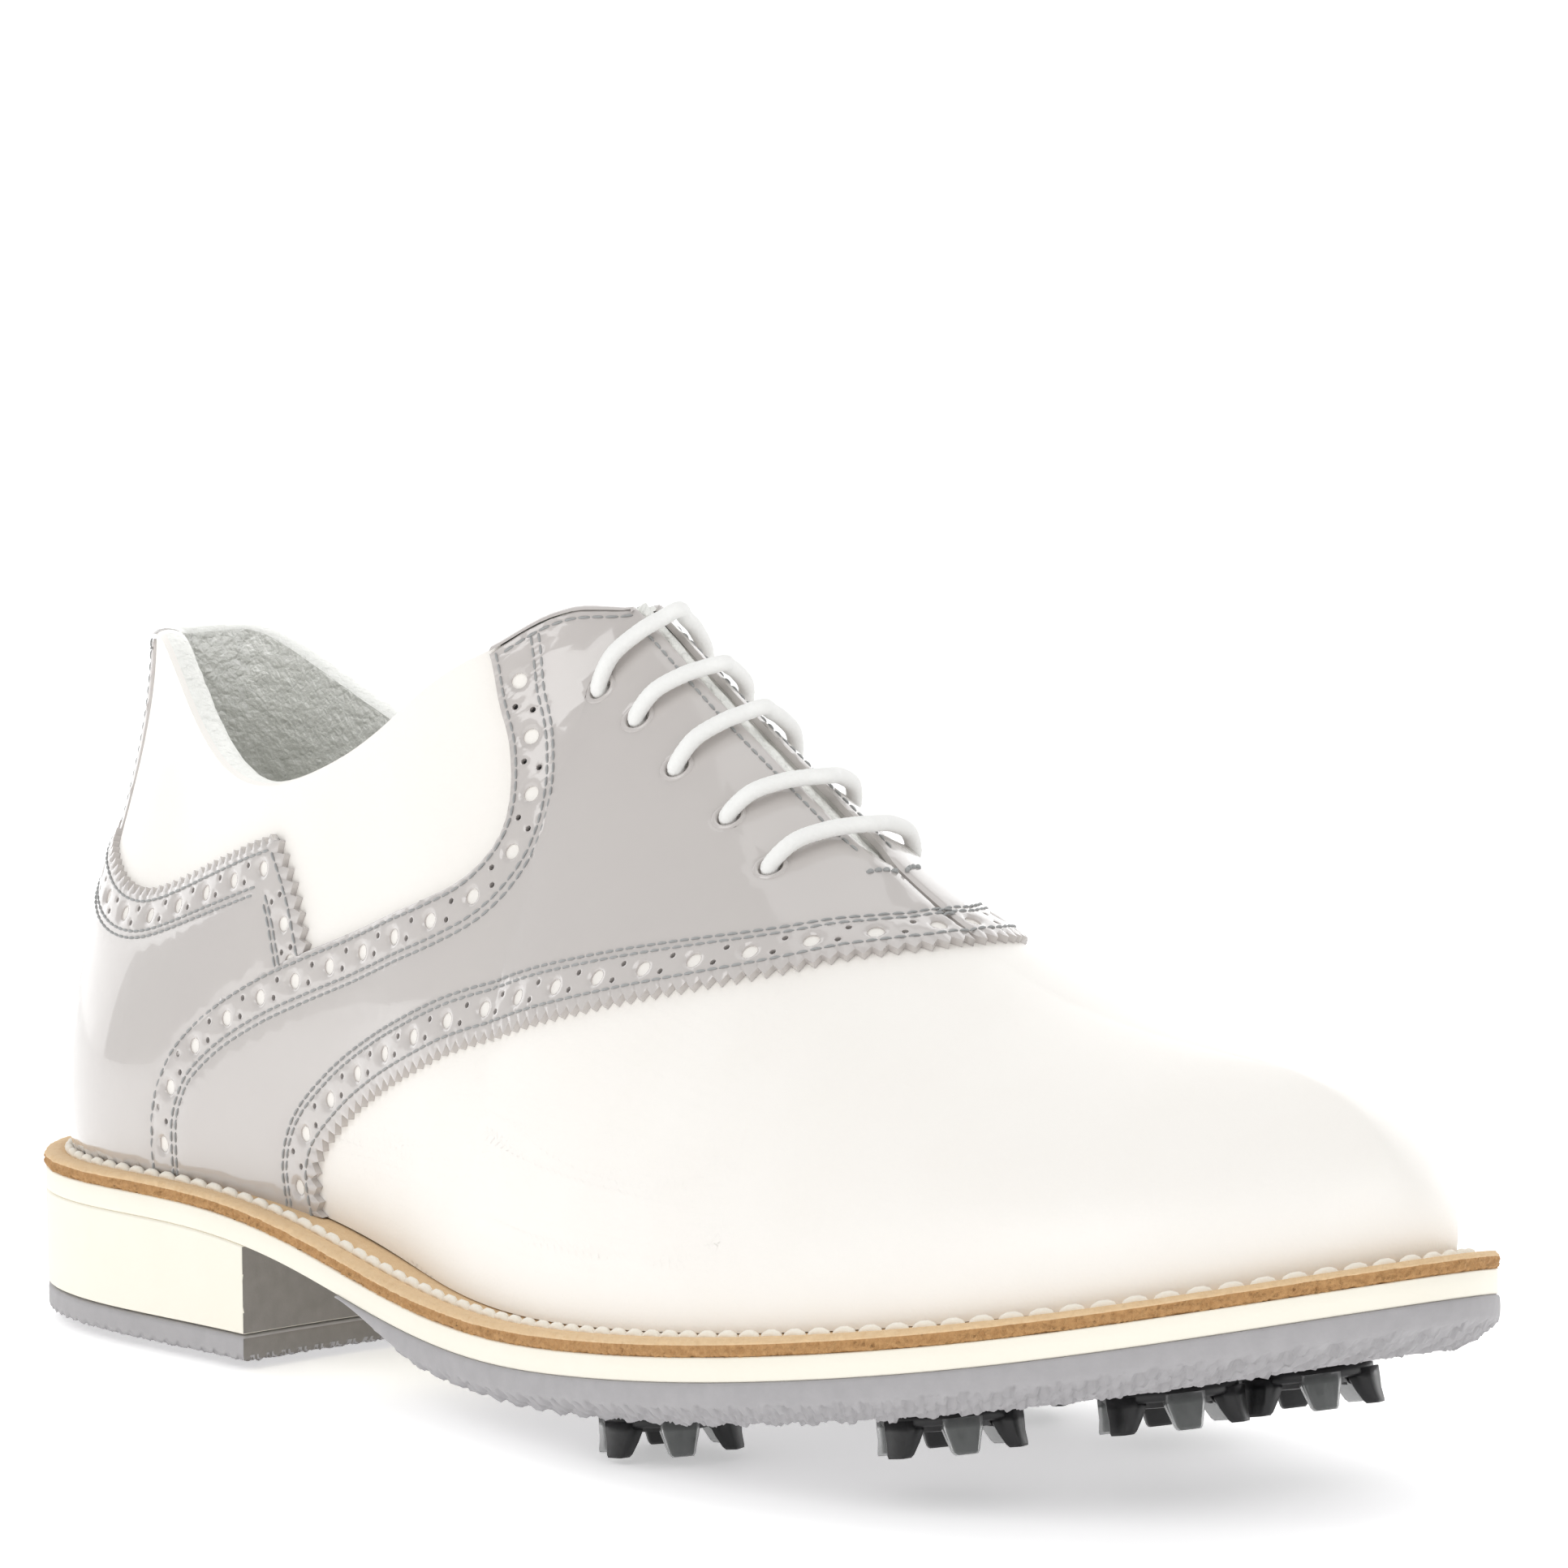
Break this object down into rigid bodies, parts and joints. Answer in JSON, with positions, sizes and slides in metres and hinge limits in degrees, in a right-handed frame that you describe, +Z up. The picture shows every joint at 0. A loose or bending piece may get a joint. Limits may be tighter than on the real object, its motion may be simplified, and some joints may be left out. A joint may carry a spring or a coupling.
{
  "type": "golf shoe",
  "caption": "Right-foot welted golf shoe with a perforated saddle, laced facings, a block heel and twist-in cleats.",
  "frame": {"origin": "middle of the bounding box in plan, on the floor under the cleat tips and heel lugs", "axes": "+X toward the toe, +Y toward the medial side, +Z up"},
  "size_m": [0.303, 0.1054, 0.1191],
  "materials": {
    "white_leather": "smooth",
    "grey_patent": "gloss",
    "lining": "metallic crinkle",
    "cream_edge": "satin",
    "tan_leather": "raw",
    "grey_rubber": "matte",
    "white_cord": "woven",
    "black_plastic": "satin",
    "steel": "brushed",
    "cork": "matte",
    "stiffener": "matte",
    "clear_plastic": "gloss"
  },
  "bodies": {
    "shoe": {"aglet_1": "clear_plastic", "aglet_2": "clear_plastic", "backstay": "grey_patent", "cleat_socket_1": "black_plastic", "cleat_socket_2": "black_plastic", "cleat_socket_3": "black_plastic", "cleat_socket_4": "black_plastic", "cleat_socket_5": "black_plastic", "cleat_socket_6": "black_plastic", "cork_filler": "cork", "eyelet_lateral_1": "steel", "eyelet_lateral_2": "steel", "eyelet_lateral_3": "steel", "eyelet_lateral_4": "steel", "eyelet_lateral_5": "steel", "eyelet_medial_1": "steel", "eyelet_medial_2": "steel", "eyelet_medial_3": "steel", "eyelet_medial_4": "steel", "eyelet_medial_5": "steel", "heel_block": "cream_edge", "heel_counter": "stiffener", "heel_foxing": "grey_patent", "heel_nail_1": "steel", "heel_nail_2": "steel", "heel_nail_3": "steel", "heel_nail_4": "steel", "heel_nail_5": "steel", "heel_top_lift": "grey_rubber", "insole_board": "stiffener", "lace": "white_cord", "midsole": "cream_edge", "outsole": "grey_rubber", "quarter_lateral": "white_leather", "quarter_lining": "lining", "quarter_medial": "white_leather", "saddle_lateral": "grey_patent", "saddle_medial": "grey_patent", "shank": "steel", "sock_liner": "lining", "toe_puff": "stiffener", "tongue": "lining", "vamp": "white_leather", "vamp_lining": "lining", "welt": "tan_leather", "welt_stitching": "white_cord"},
    "cleat_body_1": {"cleat_1": "black_plastic"},
    "cleat_body_2": {"cleat_2": "black_plastic"},
    "cleat_body_3": {"cleat_3": "black_plastic"},
    "cleat_body_4": {"cleat_4": "black_plastic"},
    "cleat_body_5": {"cleat_5": "black_plastic"},
    "cleat_body_6": {"cleat_6": "black_plastic"}
  },
  "joints": [
    {"name": "cleat_1_twist", "type": "hinge", "parent": "shoe", "child": "cleat_body_1", "pos_m": [0.0325, -0.03075, 0.00728], "axis": [0.0836, 0, -0.9965], "range_deg": [0, 60]},
    {"name": "cleat_2_twist", "type": "hinge", "parent": "shoe", "child": "cleat_body_2", "pos_m": [0.0855, -0.02375, 0.01315], "axis": [0.1334, 0, -0.9911], "range_deg": [0, 60]},
    {"name": "cleat_3_twist", "type": "hinge", "parent": "shoe", "child": "cleat_body_3", "pos_m": [0.1035, 0.00125, 0.01576], "axis": [0.1591, 0, -0.9873], "range_deg": [0, 60]},
    {"name": "cleat_4_twist", "type": "hinge", "parent": "shoe", "child": "cleat_body_4", "pos_m": [0.1075, 0.02325, 0.01642], "axis": [0.1674, 0, -0.9859], "range_deg": [0, 60]},
    {"name": "cleat_5_twist", "type": "hinge", "parent": "shoe", "child": "cleat_body_5", "pos_m": [0.0385, 0.02625, 0.0078], "axis": [0.0899, 0, -0.9959], "range_deg": [0, 60]},
    {"name": "cleat_6_twist", "type": "hinge", "parent": "shoe", "child": "cleat_body_6", "pos_m": [0.0705, 0.03225, 0.01123], "axis": [0.1195, 0, -0.9928], "range_deg": [0, 60]}
  ]
}
